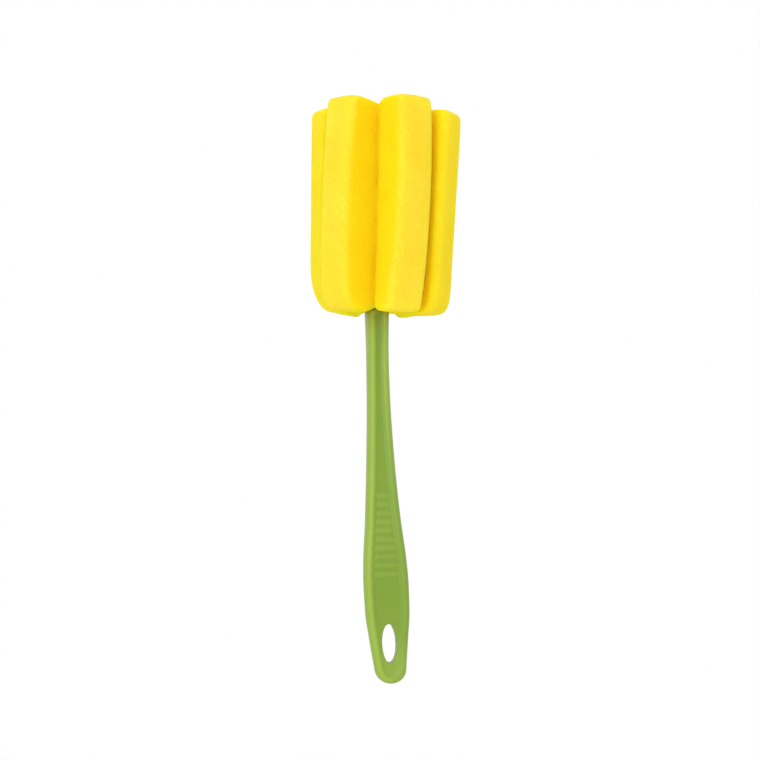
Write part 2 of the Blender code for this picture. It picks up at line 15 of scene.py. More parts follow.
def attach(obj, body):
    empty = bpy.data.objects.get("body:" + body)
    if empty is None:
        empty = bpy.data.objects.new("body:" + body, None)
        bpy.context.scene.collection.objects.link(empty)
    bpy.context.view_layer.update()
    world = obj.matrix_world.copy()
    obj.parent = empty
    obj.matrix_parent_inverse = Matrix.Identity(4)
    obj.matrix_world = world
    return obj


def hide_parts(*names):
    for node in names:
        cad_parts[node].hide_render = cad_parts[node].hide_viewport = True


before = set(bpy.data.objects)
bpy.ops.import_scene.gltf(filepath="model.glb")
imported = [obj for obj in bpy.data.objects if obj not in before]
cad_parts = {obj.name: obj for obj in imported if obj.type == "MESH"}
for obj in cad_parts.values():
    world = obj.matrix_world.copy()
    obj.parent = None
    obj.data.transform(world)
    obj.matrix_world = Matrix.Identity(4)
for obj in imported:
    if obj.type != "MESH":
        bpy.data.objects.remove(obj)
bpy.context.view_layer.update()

MM = 0.001

# Handle outline: the half width at each height, above a round tail end and up to the fork's shoulder
SHOULDER = 161.0 * MM
SHOULDER_HALF_WIDTH = 5.15 * MM
TAIL_RADIUS = 6.6 * MM
HALF_WIDTHS = [
    (6.6 * MM, 7.0 * MM),
    (20.6 * MM, 8.65 * MM),
    (31.0 * MM, 9.68 * MM),
    (42.5 * MM, 9.85 * MM),
    (53.0 * MM, 9.4 * MM),
    (70.0 * MM, 7.8 * MM),
    (96.0 * MM, 6.15 * MM),
    (122.0 * MM, 5.15 * MM),
    (144.0 * MM, 4.88 * MM),
    (SHOULDER, SHOULDER_HALF_WIDTH),
]
# Handle side view: the half depth over the rims at each height
TAIL_HALF_DEPTH = 3.6 * MM
GRIP_HALF_DEPTH = 4.2 * MM
NECK_HALF_DEPTH = 4.5 * MM
TAIL_TOP = 35.0 * MM
GRIP_MIDDLE = 70.0 * MM
NECK_MIDDLE = 128.0 * MM
RIM_WIDTH = 4.6 * MM
PANEL_RECESS = 1.1 * MM

# Handle centre line: how far it lies to the right at each height, and how far the tail stands forward
SIDEWAYS = [
    (0.0 * MM, 4.25 * MM),
    (20.0 * MM, 3.05 * MM),
    (50.0 * MM, 1.75 * MM),
    (85.0 * MM, 0.68 * MM),
    (125.0 * MM, 0.12 * MM),
    (SHOULDER, -0.35 * MM),
]
TAIL_FORWARD = 10.0 * MM
STRAIGHT_TAIL = 31.0 * MM
BEND_TOP = 150.0 * MM

# Grip ribs, on the front and back panels
RIB_COUNT = 10
RIB_PITCH = 3.7 * MM
RIB_HEIGHT = 0.45 * MM
FIRST_RIB = 47.3 * MM
STEPS_PER_RIB = 12

# Hanging eye
EYE_HALF_WIDTH = 3.2 * MM
EYE_HALF_HEIGHT = 8.5 * MM
EYE_HEIGHT = 17.4 * MM
EYE_SIDES = 72
ORIGIN_ABOVE_EYE = 3.0 * MM

# Fork: two tines above the neck's shoulder
TINE_HALF_WIDTH = 3.1 * MM
TINE_THICKNESS = 2.6 * MM
TINE_ROOT = 2.0 * MM
BARB_DEPTH = 0.5 * MM
BARB_HEIGHT = 1.4 * MM

# Foam leaves, from front to back
LEAF_THICKNESS = 16.0 * MM
LEAF_WIDTH = 64.0 * MM
WAIST_THICKNESS = 1.95 * MM
HEAD_HEIGHT = 89.8 * MM
# how far each leaf hangs below the fork's shoulder, and stops short of the head's top
LEAF_DROPS = (1.9 * MM, 2.3 * MM, 1.2 * MM, 0.4 * MM)
LEAF_SHORTFALLS = (0.9 * MM, 4.7 * MM, 4.0 * MM, 2.4 * MM)
# how much each leaf's top and bottom edges rise over a length to the right
LEAF_TOP_SLOPES = (-0.02, -0.033, 0.0, 0.0)
LEAF_BOTTOM_SLOPES = (-0.03, -0.03, -0.01, 0.0)
TIP_CORNER = 3.4 * MM
EDGE_ROUND = 1.0 * MM
# how far a leaf's top and bottom edges bulge in the middle of its thickness
TOP_DOME = 0.5 * MM
BOTTOM_DOME = 0.4 * MM
# how far each leaf's bottom edge sags close to the fork, and its top edge dips
SAGS = (1.4 * MM, 1.0 * MM, 0.7 * MM, 0.6 * MM)
DIP = 1.8 * MM
SAG_FULL = 10.0 * MM
SAG_END = 20.0 * MM
DIP_END = 27.0 * MM
# the notch under the two front lobes, and under the rear ones, where they hang over the stem
NOTCH_RISE = 5.0 * MM
NOTCH_HALF_WIDTH = 4.6 * MM
NOTCH_FULL = 18.0 * MM
NOTCH_END = 25.0 * MM
# how far around the shoulder and the cap the foam's edges are pushed out of the way
SHOULDER_MARGIN = 0.9 * MM
SHOULDER_SPREAD = 3.4 * MM
CAP_MARGIN = 2.6 * MM
CAP_SPREAD = 9.0 * MM

# Lobes, counted round from the front crease to the right: the direction of each, in degrees from the
# front, at the bottom, the middle and the top of the head
LOBE_ANGLES = [
    (10.0, 19.0, 18.2),
    (48.0, 49.0, 51.5),
    (101.0, 102.5, 103.5),
    (150.0, 151.0, 152.0),
    (208.0, 209.0, 210.0),
    (246.0, 247.5, 249.0),
    (283.5, 284.5, 286.0),
    (313.0, 311.9, 316.8),
]
# how far each lobe's end lies beyond half the leaves' usual width, at the same three heights
LOBE_EXTRAS = [
    (1.2 * MM, 2.1 * MM, 3.0 * MM),
    (0.9 * MM, 3.7 * MM, 6.3 * MM),
    (-0.4 * MM, 0.9 * MM, 2.2 * MM),
    (0.4 * MM, 0.7 * MM, 1.0 * MM),
    (-0.4 * MM, -0.7 * MM, -1.0 * MM),
    (-3.8 * MM, -3.9 * MM, -4.0 * MM),
    (-2.2 * MM, -2.6 * MM, -3.0 * MM),
    (0.2 * MM, 0.0 * MM, -2.2 * MM),
]
# each lobe's rounding at its lower and its upper outer corner: along the lobe, and up it
LOW_CORNERS = [
    (1.8 * MM, 2.6 * MM),
    (5.5 * MM, 8.0 * MM),
    (4.0 * MM, 5.0 * MM),
    (4.0 * MM, 6.0 * MM),
    (4.5 * MM, 6.5 * MM),
    (9.0 * MM, 19.0 * MM),
    (9.6 * MM, 19.0 * MM),
    (6.5 * MM, 11.0 * MM),
]
HIGH_CORNERS = [
    (3.0 * MM, 3.4 * MM),
    (3.0 * MM, 4.0 * MM),
    (3.0 * MM, 3.5 * MM),
    (3.0 * MM, 3.5 * MM),
    (3.0 * MM, 3.5 * MM),
    (3.0 * MM, 3.5 * MM),
    (2.2 * MM, 2.4 * MM),
    (2.4 * MM, 2.8 * MM),
]
# the directions of the notches, and of the creases above them
FRONT_NOTCH = -10.0
FRONT_CREASE_BOTTOM = -15.5
FRONT_CREASE_TOP = -6.5
REAR_CREASE = 180.0
CREASE_START = 5.0 * MM
# how much the two front lobes thicken towards the fork, on the sides that press on each other
CREASE_SWELL = 5.0 * MM
# over what width a lobe's side turns from the crease's line to its own face
PRESSED_BLEND = 1.4 * MM
FREE_BLEND = 2.7 * MM

# Cap over the tips of the tines
CAP_HALF_WIDTH = 5.0 * MM
CAP_WALL = 1.1 * MM
CAP_THICKNESS = 3.6 * MM
CAP_ROUND = 0.8 * MM
CAP_CORNER = 2.2 * MM
CAP_BELOW_TOP = 5.4 * MM
TINES_BELOW_CAP_TOP = 0.2 * MM

CLEARANCE = 0.3 * MM
# the gap between the two halves of an outer leaf, which press into each other beyond the tine
TOUCHING = -1.0 * MM

# What follows from the sizes above
LEAF_COUNT = len(LEAF_DROPS)
OUTER_LEAVES = (0, LEAF_COUNT - 1)
HEAD_TOP = SHOULDER + HEAD_HEIGHT
LEAF_BOTTOMS = [SHOULDER - drop for drop in LEAF_DROPS]
LEAF_TOPS = [HEAD_TOP - shortfall for shortfall in LEAF_SHORTFALLS]
HEAD_BOTTOM = min(LEAF_BOTTOMS)
LEAF_PITCH = WAIST_THICKNESS + CLEARANCE
FORK_HALF_GAP = (LEAF_COUNT * LEAF_PITCH + CLEARANCE) / 2
TINE_OUTSIDE = FORK_HALF_GAP + TINE_THICKNESS
CAP_BOTTOM = HEAD_TOP - CAP_BELOW_TOP
CAP_TOP = CAP_BOTTOM + CAP_THICKNESS
CAP_HALF_DEPTH = TINE_OUTSIDE + CLEARANCE + CAP_WALL
TINE_TOP = CAP_TOP - TINES_BELOW_CAP_TOP
TINE_SIDE = TINE_HALF_WIDTH + CLEARANCE

# How finely the round shapes are drawn
RIM_STEPS = 16
PANEL_STEPS = (0.85, 0.65, 0.4, 0.2, 0.0)
TAIL_END_STEPS = 16
TAIL_STEPS = 36
NECK_STEPS = 50
LOBE_STATIONS = 7
FAN_REACHES = (2.2 * MM, 3.7 * MM, 8.5 * MM)
TIP_STEPS = 4
DOME_STEPS = 8
SPLITS = 3
LEVELS_ABOVE_BOTTOM = [d * MM for d in (0.0, 0.25, 1.0, 2.5, 5.0, 9.0, 14.0, 21.0, 31.0)]
LEVEL_ABOVE_MIDDLE = 3.0 * MM
LEVELS_BELOW_TOP = [d * MM for d in (30.0, 18.0, 10.0, 5.0, 2.6, 1.0, 0.25, 0.0)]
OUTER_SIDES = 12
CAP_CORNER_SIDES = 10
CAP_ROUND_STEPS = 6
HANDLE_VOXEL = 0.38 * MM
FOAM_VOXEL = 0.6 * MM
RELAX_FACTOR = 0.5
RELAX_ROUNDS = 3

# The unevenness of sliced foam, slow and quick: how far it stands out in millimetres, how fast it changes
# across and up a leaf, per millimetre, and how far one leaf's pattern is shifted from the next one's
UNEVENNESS = ((0.20, 0.09, 0.035, 7.3), (0.05, 0.45, 0.3, 3.1))
MM_PER_METRE = 1000

# Painted shade and highlight on the plastic: how bright it is painted, from 0 in the sunken panels, where
# shade is painted, to 1 on the crest of the left rim, where a highlight is painted
OUTER_SHARE = 0.6
RIGHT_GRIP_SHARE = 0.15
RIGHT_NECK_SHARE = 1.0
TAIL_END_SHARE = 0.55
CAP_SHARE = 0.8
RIB_SHARE = 0.3
# where that changes across a rim, from 0 at the handle's outline to 1 at the panel
ONTO_CREST = (0.05, 0.4)
OFF_CREST = (0.55, 0.95)
ONTO_RIBS = (0.7, 1.0)

# Painted light on the foam: how pale the middle leaves' outer faces are painted, where those of the outer
# leaves are 1, and how far in from such a face the foam stays as pale
MIDDLE_PALENESS = 0.4
PALE_MARGIN = 0.8 * MM

# Green plastic: two greens and where they lie in its broad noise, and the painted shade in its sunken
# panels
WHITE = (1.0, 1.0, 1.0, 1.0)
PLASTIC_GREENS = ((0.3, (0.294, 0.438, 0.053, 1.0)), (0.75, (0.326, 0.468, 0.062, 1.0)))
PANEL_PAINTED_SHADE = (0.655, 0.73, 0.56, 1.0)
# painted shadow and yellow bounce light: close to the foam's lower edge the plastic is painted darker and
# yellower
FOAM_SHADOW_TINT = (1.0, 0.80, 0.30, 1.0)
FOAM_SHADOW_REACH = 12.0 * MM
PLASTIC_PATCHES = {"Scale": 60.0, "Detail": 3.0}
PLASTIC_GRAIN = {"Scale": 900.0, "Detail": 4.0}
PLASTIC_ROUGHNESS = {"To Min": 0.26, "To Max": 0.40}
PLASTIC_BUMP = {"Strength": 0.06, "Distance": 0.1 * MM}
PLASTIC_SHADER = {
    "IOR": 1.49,
    "Specular IOR Level": 0.3,
    "Subsurface Weight": 0.12,
    "Subsurface Radius": (0.5, 1.0, 0.2),
    "Subsurface Scale": 1.2 * MM,
}

# Yellow foam: two yellows and where they lie in its broad noise, the painted shade on the lobes' flanks
# and the painted light on their outer faces, and the painted shade at the bottom of its pores
FOAM_YELLOWS = ((0.25, (0.985, 0.675, 0.006, 1.0)), (0.8, (1.0, 0.735, 0.012, 1.0)))
FLANK_PAINTED_SHADE = (1.0, 0.995, 0.35, 1.0)
FACE_PAINTED_LIGHT = (1.0, 0.99, 4.2, 1.0)
# painted shade at the bottom of the pores
PORE_PAINTED_SHADE = (0.99, 0.87, 0.65, 1.0)
FOAM_PATCHES = {"Scale": 55.0, "Detail": 5.0}
# how many cells, pores and wide holes there are along a metre, and how each kind of pore deepens
CELLS = {"Scale": 2400.0}
PORES = {"Scale": 1500.0}
HOLES = {"Scale": 900.0}
PORE_DEPTH = {"From Min": 0.0, "From Max": 0.5, "To Min": 0.4, "To Max": 1.0}
HOLE_DEPTH = {"From Min": 0.12, "From Max": 0.32, "To Min": 0.0, "To Max": 1.0}
CELL_BUMP = {"Strength": 0.3, "Distance": 0.4 * MM}
PORE_BUMP = {"Strength": 0.4, "Distance": 0.6 * MM}
FOAM_SHADER = {
    "Roughness": 0.9,
    "Subsurface Weight": 0.9,
    "Subsurface Radius": (1.0, 0.55, 0.08),
    "Subsurface Scale": 14.0 * MM,
    "Specular IOR Level": 0.15,
}

# Camera: level with the middle of the brush, a little to the left of the handle's front
CAMERA_DISTANCE = 0.6
CAMERA_TURN = 10.0
CAMERA_HEIGHT = 130.6 * MM
CAMERA_ASIDE = 1.09 * MM
CAMERA_NEAR = 0.01
CAMERA_FAR = 20.0
METRES_PER_PIXEL = 0.437 * MM
IMAGE_PIXELS = 760
SENSOR = 36.0

# Floor: shadowed near the brush, and fading to plain white between two distances from it
FLOOR_BELOW_TAIL = 100.0 * MM
FLOOR_RADIUS = 4.0
FLOOR_SIDES = 64
FLOOR_SHADER = {"Base Color": (0.93, 0.93, 0.93, 1.0), "Roughness": 0.9}
FLOOR_FADE = {"From Min": 0.09, "From Max": 0.24}

# Light: from all round, and from two lamps, each with its direction, distance, power and size
AMBIENT = 0.88
LAMPS = {
    "key": (Vector((-0.15, -1.0, 0.75)), 1.3, 2.2, 0.5),
    "left": (Vector((-0.75, -1.0, 0.05)), 1.1, 2.3, 0.4),
}


def ease(start, end, x):
    """0 below start and 1 above end, with a smooth rise between."""
    t = min(max((x - start) / (end - start), 0.0), 1.0)
    return t * t * (3 - 2 * t)


def mix(a, b, t):
    """The value at a share t of the way from a to b."""
    return a + (b - a) * t


def smooth_min(a, b, reach):
    """The smaller of two lengths, rounded over where they are alike."""
    h = min(max(0.5 + 0.5 * (b - a) / reach, 0.0), 1.0)
    return mix(b, a, h) - reach * h * (1 - h)


def curve_through(points, x):
    """A smooth curve through (x, y) points that never overshoots them."""
    if x <= points[0][0]:
        return points[0][1]
    if x >= points[-1][0]:
        return points[-1][1]
    steps = [(b[0] - a[0], (b[1] - a[1]) / (b[0] - a[0])) for a, b in zip(points, points[1:])]
    slopes = [steps[0][1]]
    for (_, before), (_, after) in zip(steps, steps[1:]):
        slopes.append(2 * before * after / (before + after) if before * after > 0 else 0.0)
    slopes.append(steps[-1][1])
    for i, (width, _) in enumerate(steps):
        if x <= points[i + 1][0]:
            t = (x - points[i][0]) / width
            h00 = (1 + 2 * t) * (1 - t) ** 2
            h10 = t * (1 - t) ** 2
            h01 = t * t * (3 - 2 * t)
            h11 = t * t * (t - 1)
            return (
                h00 * points[i][1]
                + h10 * width * slopes[i]
                + h01 * points[i + 1][1]
                + h11 * width * slopes[i + 1]
            )


def solid_from(name, vertices, faces):
    """A mesh from points and faces, with its normals pointing out."""
    mesh = bpy.data.meshes.new(name)
    mesh.from_pydata(vertices, [], faces)
    edit = bmesh.new()
    edit.from_mesh(mesh)
    bmesh.ops.recalc_face_normals(edit, faces=edit.faces)
    edit.to_mesh(mesh)
    edit.free()
    return mesh


def ring_walls(ring_count, ring_size):
    """Four-sided faces between rings of equal size, listed one after another."""
    faces = []
    for level in range(ring_count - 1):
        low = level * ring_size
        high = low + ring_size
        for i in range(ring_size):
            j = (i + 1) % ring_size
            faces.append((low + i, low + j, high + j, high + i))
    return faces


def lofted(name, rings):
    """A closed mesh through rings of points, with a flat face over each end ring."""
    size = len(rings[0])
    vertices = [point for ring in rings for point in ring]
    faces = ring_walls(len(rings), size)
    faces.append(tuple(reversed(range(size))))
    faces.append(tuple(range(len(vertices) - size, len(vertices))))
    return solid_from(name, vertices, faces)


# Handle


def half_width(height):
    """The handle's half width, which closes to 0 round the tail's end."""
    if height < TAIL_RADIUS:
        below = (TAIL_RADIUS - height) / TAIL_RADIUS
        return HALF_WIDTHS[0][1] * sqrt(max(1 - below * below, 0.0))
    return curve_through(HALF_WIDTHS, height)


def rim_half_depth(height):
    """The handle's half depth over the crests of its rims."""
    return curve_through(
        [
            (TAIL_TOP, TAIL_HALF_DEPTH),
            (GRIP_MIDDLE, GRIP_HALF_DEPTH),
            (NECK_MIDDLE, NECK_HALF_DEPTH),
            (SHOULDER, TINE_OUTSIDE),
        ],
        height,
    )


def centre_line(height):
    """How far the handle's middle lies to the right, and behind, at a height."""
    right = curve_through(SIDEWAYS, height)
    behind = -TAIL_FORWARD * (1 - ease(STRAIGHT_TAIL, BEND_TOP, height))
    return right, behind


def edge_distance(across, height, width):
    """How far inside the handle's outline a point of the panel lies."""
    if height < TAIL_RADIUS:
        return TAIL_RADIUS - hypot(across * TAIL_RADIUS / HALF_WIDTHS[0][1], TAIL_RADIUS - height)
    return width - abs(across)


def rib_rise(height):
    """How far the ribs stand above the panel at a height."""
    phase = (height - FIRST_RIB) / RIB_PITCH
    if not -0.5 < phase < RIB_COUNT - 0.5:
        return 0.0
    return RIB_HEIGHT * (1 + cos(2 * pi * phase)) / 2


def surface_depth(across, height, width, on_panel):
    """Half the handle's depth at a point of its outline: a round rim about a sunken, ribbed panel."""
    crest = rim_half_depth(height)
    inside = max(edge_distance(across, height, width), 0.0) / RIM_WIDTH
    if inside < 0.5:
        return crest * sqrt(max(1 - (1 - 2 * inside) ** 2, 0.0))
    sunk = PANEL_RECESS * (1 - cos(2 * pi * (min(inside, 1.0) - 0.5))) / 2
    return crest - sunk + (rib_rise(height) if on_panel else 0.0)


def across_steps(width):
    """Where a slice of the handle is measured, from its right edge to its middle."""
    steps = []
    count = RIM_STEPS + len(PANEL_STEPS)
    for i in range(RIM_STEPS + 1):
        inward = RIM_WIDTH * ease(0.0, 1.0, i / RIM_STEPS)
        steps.append((width - min(inward, width * i / count), False))
    panel = steps[-1][0]
    for share in PANEL_STEPS:
        steps.append((panel * share, True))
    return steps


def handle_slice(height):
    """One level ring of the handle, from its right edge round the front and back."""
    width = half_width(height)
    right, behind = centre_line(height)
    quarter = across_steps(width)
    front = [(x, -surface_depth(x, height, width, rib)) for x, rib in quarter]
    front += [(-x, y) for x, y in reversed(front[:-1])]
    back = [(x, -y) for x, y in reversed(front[1:-1])]
    return [Vector((x + right, y + behind, height)) for x, y in front + back]


def handle_heights():
    """The levels of the handle's slices: close together round the tail end and over the ribs."""
    end = [TAIL_RADIUS * (1 - cos(pi / 2 * i / TAIL_END_STEPS)) for i in range(1, TAIL_END_STEPS + 1)]
    ribs_start = FIRST_RIB - RIB_PITCH / 2
    ribs_end = ribs_start + RIB_COUNT * RIB_PITCH
    tail = [mix(TAIL_RADIUS, ribs_start, i / TAIL_STEPS) for i in range(1, TAIL_STEPS)]
    ribs = [
        ribs_start + RIB_PITCH * i / STEPS_PER_RIB for i in range(RIB_COUNT * STEPS_PER_RIB + 1)
    ]
    neck = [mix(ribs_end, SHOULDER, i / NECK_STEPS) for i in range(1, NECK_STEPS + 1)]
    return end + tail + ribs + neck


def stem_mesh():
    """The handle below its fork."""
    rings = [handle_slice(height) for height in handle_heights()]
    size = len(rings[0])
    right, behind = centre_line(0.0)
    vertices = [point for ring in rings for point in ring] + [Vector((right, behind, 0.0))]
    faces = ring_walls(len(rings), size)
    tip = len(vertices) - 1
    faces += [(tip, (i + 1) % size, i) for i in range(size)]
    faces.append(tuple(range(tip - size, tip)))
    return solid_from("stem", vertices, faces)


def tine_ring(height, inner, side):
    """A tine's outline at a height: flat towards the foam and round away from it."""
    points = [Vector((TINE_HALF_WIDTH, side * inner, height))]
    flank = FORK_HALF_GAP + TINE_THICKNESS / 3
    for i in range(OUTER_SIDES + 1):
        turn = pi * i / OUTER_SIDES
        away = flank + (TINE_OUTSIDE - flank) * sin(turn)
        points.append(Vector((TINE_HALF_WIDTH * cos(turn), side * away, height)))
    points.append(Vector((-TINE_HALF_WIDTH, side * inner, height)))
    return points


def tine_mesh(side):
    """One tine of the fork, -1 in front and 1 behind, with a barb inside its tip."""
    barb_low = TINE_TOP - BARB_HEIGHT
    levels = [
        (SHOULDER - TINE_ROOT, FORK_HALF_GAP),
        (barb_low - CLEARANCE, FORK_HALF_GAP),
        (barb_low, FORK_HALF_GAP - BARB_DEPTH),
        (TINE_TOP, FORK_HALF_GAP),
    ]
    return lofted("tine", [tine_ring(height, inner, side) for height, inner in levels])


# Foam leaves


def towards(angle):
    """The level direction at an angle from the front, turning to the right."""
    return Vector((sin(radians(angle)), -cos(radians(angle))))


def at_share(values, share):
    """A smooth curve through three values: at the head's bottom, its middle and its top."""
    low, middle, high = values
    return (
        low * (1 - share) * (1 - 2 * share)
        + middle * 4 * share * (1 - share)
        + high * share * (2 * share - 1)
    )


def lobe_angle(lobe, share):
    """The direction of a lobe at a share of the head's height."""
    return at_share(LOBE_ANGLES[lobe], share)


def crease_angle(crease, share):
    """The direction of the gap below a lobe, at a share of the head's height."""
    if crease == 0:
        return mix(FRONT_CREASE_BOTTOM, FRONT_CREASE_TOP, share)
    if crease == LEAF_COUNT:
        return REAR_CREASE
    return (lobe_angle(crease - 1, share) + lobe_angle(crease, share)) / 2


def crease_path(crease, side, share):
    """The middle of the gap between two lobes: the points where it winds out of the fork, and its angle.

    Creases 0 and 4 start at a tine and round its edge; the others start between two leaves."""
    angle = crease_angle(crease, share)
    if crease % LEAF_COUNT == 0:
        face = -1 if crease == 0 else 1
        inner = face * (FORK_HALF_GAP - CLEARANCE / 2)
        outer = face * (TINE_OUTSIDE + CLEARANCE / 2)
        start = Vector((0.0, face * TINE_OUTSIDE)) + CREASE_START * towards(angle)
        edge = side * (TINE_SIDE - CLEARANCE / 2)
        return [Vector((0.0, inner)), Vector((edge, inner)), Vector((edge, outer)), start], angle
    layer = crease if crease < LEAF_COUNT else 2 * LEAF_COUNT - crease
    level = (layer - LEAF_COUNT / 2) * LEAF_PITCH
    start = Vector((side * (TINE_SIDE + CLEARANCE), level))
    return [Vector((0.0, level)), start] + [start + r * towards(angle) for r in FAN_REACHES], angle


def lobe_side(lobe, upper, tip, share, inset):
    """The points along one side of a lobe, from the fork's middle to its outer corner."""
    side = 1 if lobe < LEAF_COUNT else -1
    crease = (lobe + 1) % (2 * LEAF_COUNT) if upper else lobe
    path, gap_angle = crease_path(crease, side, share)
    angle = lobe_angle(lobe, share)
    out = towards(angle)
    sideways = towards(angle + 90) if upper else towards(angle - 90)
    at_tine = crease % LEAF_COUNT == 0
    gap = CLEARANCE / 2 + inset
    open_gap = (TOUCHING if at_tine else CLEARANCE / 2) + inset
    front = (side > 0) != upper
    waist_gap = (CLEARANCE / 2 + min(inset, WAIST_THICKNESS / 6)) * (1 if front else -1)
    points = [path[0] + Vector((0.0, waist_gap)), path[1] + Vector((0.0, waist_gap))]
    if at_tine:
        points[1].x += side * gap
        points.append(path[2] + Vector((side * gap, 0.0)))
    pressed = crease == 0
    swell = CREASE_SWELL if pressed else 0.0
    blend = PRESSED_BLEND if pressed else FREE_BLEND
    ray = towards(gap_angle)
    run = ray.dot(out)
    drift = ray.dot(sideways)
    first = path[-1].dot(out)
    start_away = path[-1].dot(sideways)

    def away(reach):
        """The lobe's half thickness on this side, at a distance out from the fork."""
        free = start_away + (reach - first) * drift / run - open_gap / run
        bulk = LEAF_THICKNESS / 2 - inset + swell * max(1 - reach / tip, 0.0)
        return smooth_min(free, bulk, blend)

    if at_tine:
        stations = [first, first + FAN_REACHES[0]]
    else:
        stations = [point.dot(out) for point in path[2:]]
    last = tip - TIP_CORNER
    stations += [mix(first, last, (i + 1) / LOBE_STATIONS) for i in range(LOBE_STATIONS)]
    points += [out * u + sideways * away(u) for u in stations]
    for i in range(1, TIP_STEPS + 1):
        turn = pi / 2 * i / TIP_STEPS
        u = last + TIP_CORNER * sin(turn)
        v = away(last) - TIP_CORNER * (1 - cos(turn))
        points.append(out * u + sideways * v)
    return points


def corner_loss(distance, corner):
    """How much shorter a lobe is at a distance from its top or bottom edge."""
    along, up = corner
    if distance >= up:
        return 0.0
    return along * (1 - sqrt(1 - (1 - distance / up) ** 2))


def lobe_tip(lobe, leaf, height, share):
    """How far a lobe reaches from the fork's middle."""
    extra = at_share(LOBE_EXTRAS[lobe], share)
    low = corner_loss(max(height - LEAF_BOTTOMS[leaf], 0.0), LOW_CORNERS[lobe])
    high = corner_loss(max(LEAF_TOPS[leaf] - height, 0.0), HIGH_CORNERS[lobe])
    return LEAF_WIDTH / 2 + extra - low - high


def edge_inset(distance):
    """How far a leaf's faces draw in, close to its top or bottom edge."""
    if distance >= EDGE_ROUND:
        return 0.0
    return EDGE_ROUND - sqrt(EDGE_ROUND**2 - (EDGE_ROUND - distance) ** 2)


def refined(points):
    """The same line with more points along each stretch."""
    fine = [points[0]]
    for start, end in zip(points, points[1:]):
        fine += [start.lerp(end, i / SPLITS) for i in range(1, SPLITS + 1)]
    return fine


def leaf_levels(leaf):
    """(height, how far it is in from the nearer edge) for each level of a leaf."""
    low, high = LEAF_BOTTOMS[leaf], LEAF_TOPS[leaf]
    levels = [(low + d, d) for d in LEVELS_ABOVE_BOTTOM]
    levels.append(((low + high) / 2 + LEVEL_ABOVE_MIDDLE, high - low))
    levels += [(high - d, d) for d in LEVELS_BELOW_TOP]
    return levels


def level_rungs(leaf, height, distance):
    """Pairs of front and back points across a leaf, from its left tip to its right tip."""
    share = (height - HEAD_BOTTOM) / (HEAD_TOP - HEAD_BOTTOM)
    inset = edge_inset(distance)
    right, left = leaf, 2 * LEAF_COUNT - 1 - leaf
    halves = []
    for lobe, front_is_upper in ((left, True), (right, False)):
        tip = lobe_tip(lobe, leaf, height, share) - inset
        front = lobe_side(lobe, front_is_upper, tip, share, inset)
        back = lobe_side(lobe, not front_is_upper, tip, share, inset)
        halves.append(list(zip(refined(front), refined(back))))
    return list(reversed(halves[0][1:])) + halves[1]


def share_over(point, half_width, half_depth, margin, spread):
    """1 over an oblong about the fork and a margin around it, falling smoothly to 0 further out."""
    outside = max(abs(point.x) - half_width, abs(point.y) - half_depth)
    return 1 - ease(margin, spread, outside)


def edges_at(point, leaf):
    """A leaf's lower and upper edge at a point, and how far each may bulge there.

    The edges clear the shoulder and the cap, and the lower one is notched around the stem."""
    reach = hypot(point.x, point.y)
    near_fork = 1 - ease(SAG_FULL, SAG_END, reach)
    near_cap = 1 - ease(SAG_FULL, DIP_END, reach)
    low = LEAF_BOTTOMS[leaf] - SAGS[leaf] * near_fork + LEAF_BOTTOM_SLOPES[leaf] * point.x
    high = LEAF_TOPS[leaf] - TOP_DOME - DIP * near_cap + LEAF_TOP_SLOPES[leaf] * point.x
    on_shoulder = share_over(
        point, SHOULDER_HALF_WIDTH, TINE_OUTSIDE, SHOULDER_MARGIN, SHOULDER_SPREAD
    )
    under_cap = share_over(point, CAP_HALF_WIDTH, CAP_HALF_DEPTH, CAP_MARGIN, CAP_SPREAD)
    off_notch = abs(towards(FRONT_NOTCH if point.y < 0 else REAR_CREASE).cross(point.xy))
    over_stem = max(1 - off_notch / NOTCH_HALF_WIDTH, 0.0) * (1 - ease(NOTCH_FULL, NOTCH_END, reach))
    new_low = mix(low + BOTTOM_DOME + NOTCH_RISE * over_stem, SHOULDER + CLEARANCE, on_shoulder)
    new_high = mix(high, min(high, CAP_BOTTOM - CLEARANCE), under_cap)
    return new_low, new_high, BOTTOM_DOME * (1 - on_shoulder), TOP_DOME * (1 - under_cap)


def seated_height(point, share, leaf):
    """A point's height, at a share of the leaf's own height."""
    low, high, _, _ = edges_at(point, leaf)
    return mix(low, high, share)


def domed_edge(rungs, leaf, first, upper):
    """The faces over a leaf's top or bottom, and their points between its front and back."""
    count = len(rungs)
    rungs_start = first - 2 * count if upper else 0
    inner = DOME_STEPS - 1
    points, faces = [], []
    for front, back in rungs[1:-1]:
        for j in range(1, DOME_STEPS):
            point = front.lerp(back, j / DOME_STEPS)
            _, _, lower_bulge, upper_bulge = edges_at(point, leaf)
            bulge = upper_bulge if upper else -lower_bulge
            points.append(point + Vector((0.0, 0.0, bulge * sqrt(sin(pi * j / DOME_STEPS)))))

    def across(i):
        """The numbers of the points over one rung, from front to back."""
        between = [] if i in (0, count - 1) else [first + (i - 1) * inner + j for j in range(inner)]
        return [rungs_start + i] + between + [rungs_start + 2 * count - 1 - i]

    for i in range(count - 1):
        here, there = across(i), across(i + 1)
        if len(here) != len(there):
            faces.append(tuple(here + there[::-1]))
            continue
        for j in range(len(here) - 1):
            faces.append((here[j], there[j], there[j + 1], here[j + 1]))
    return points, faces


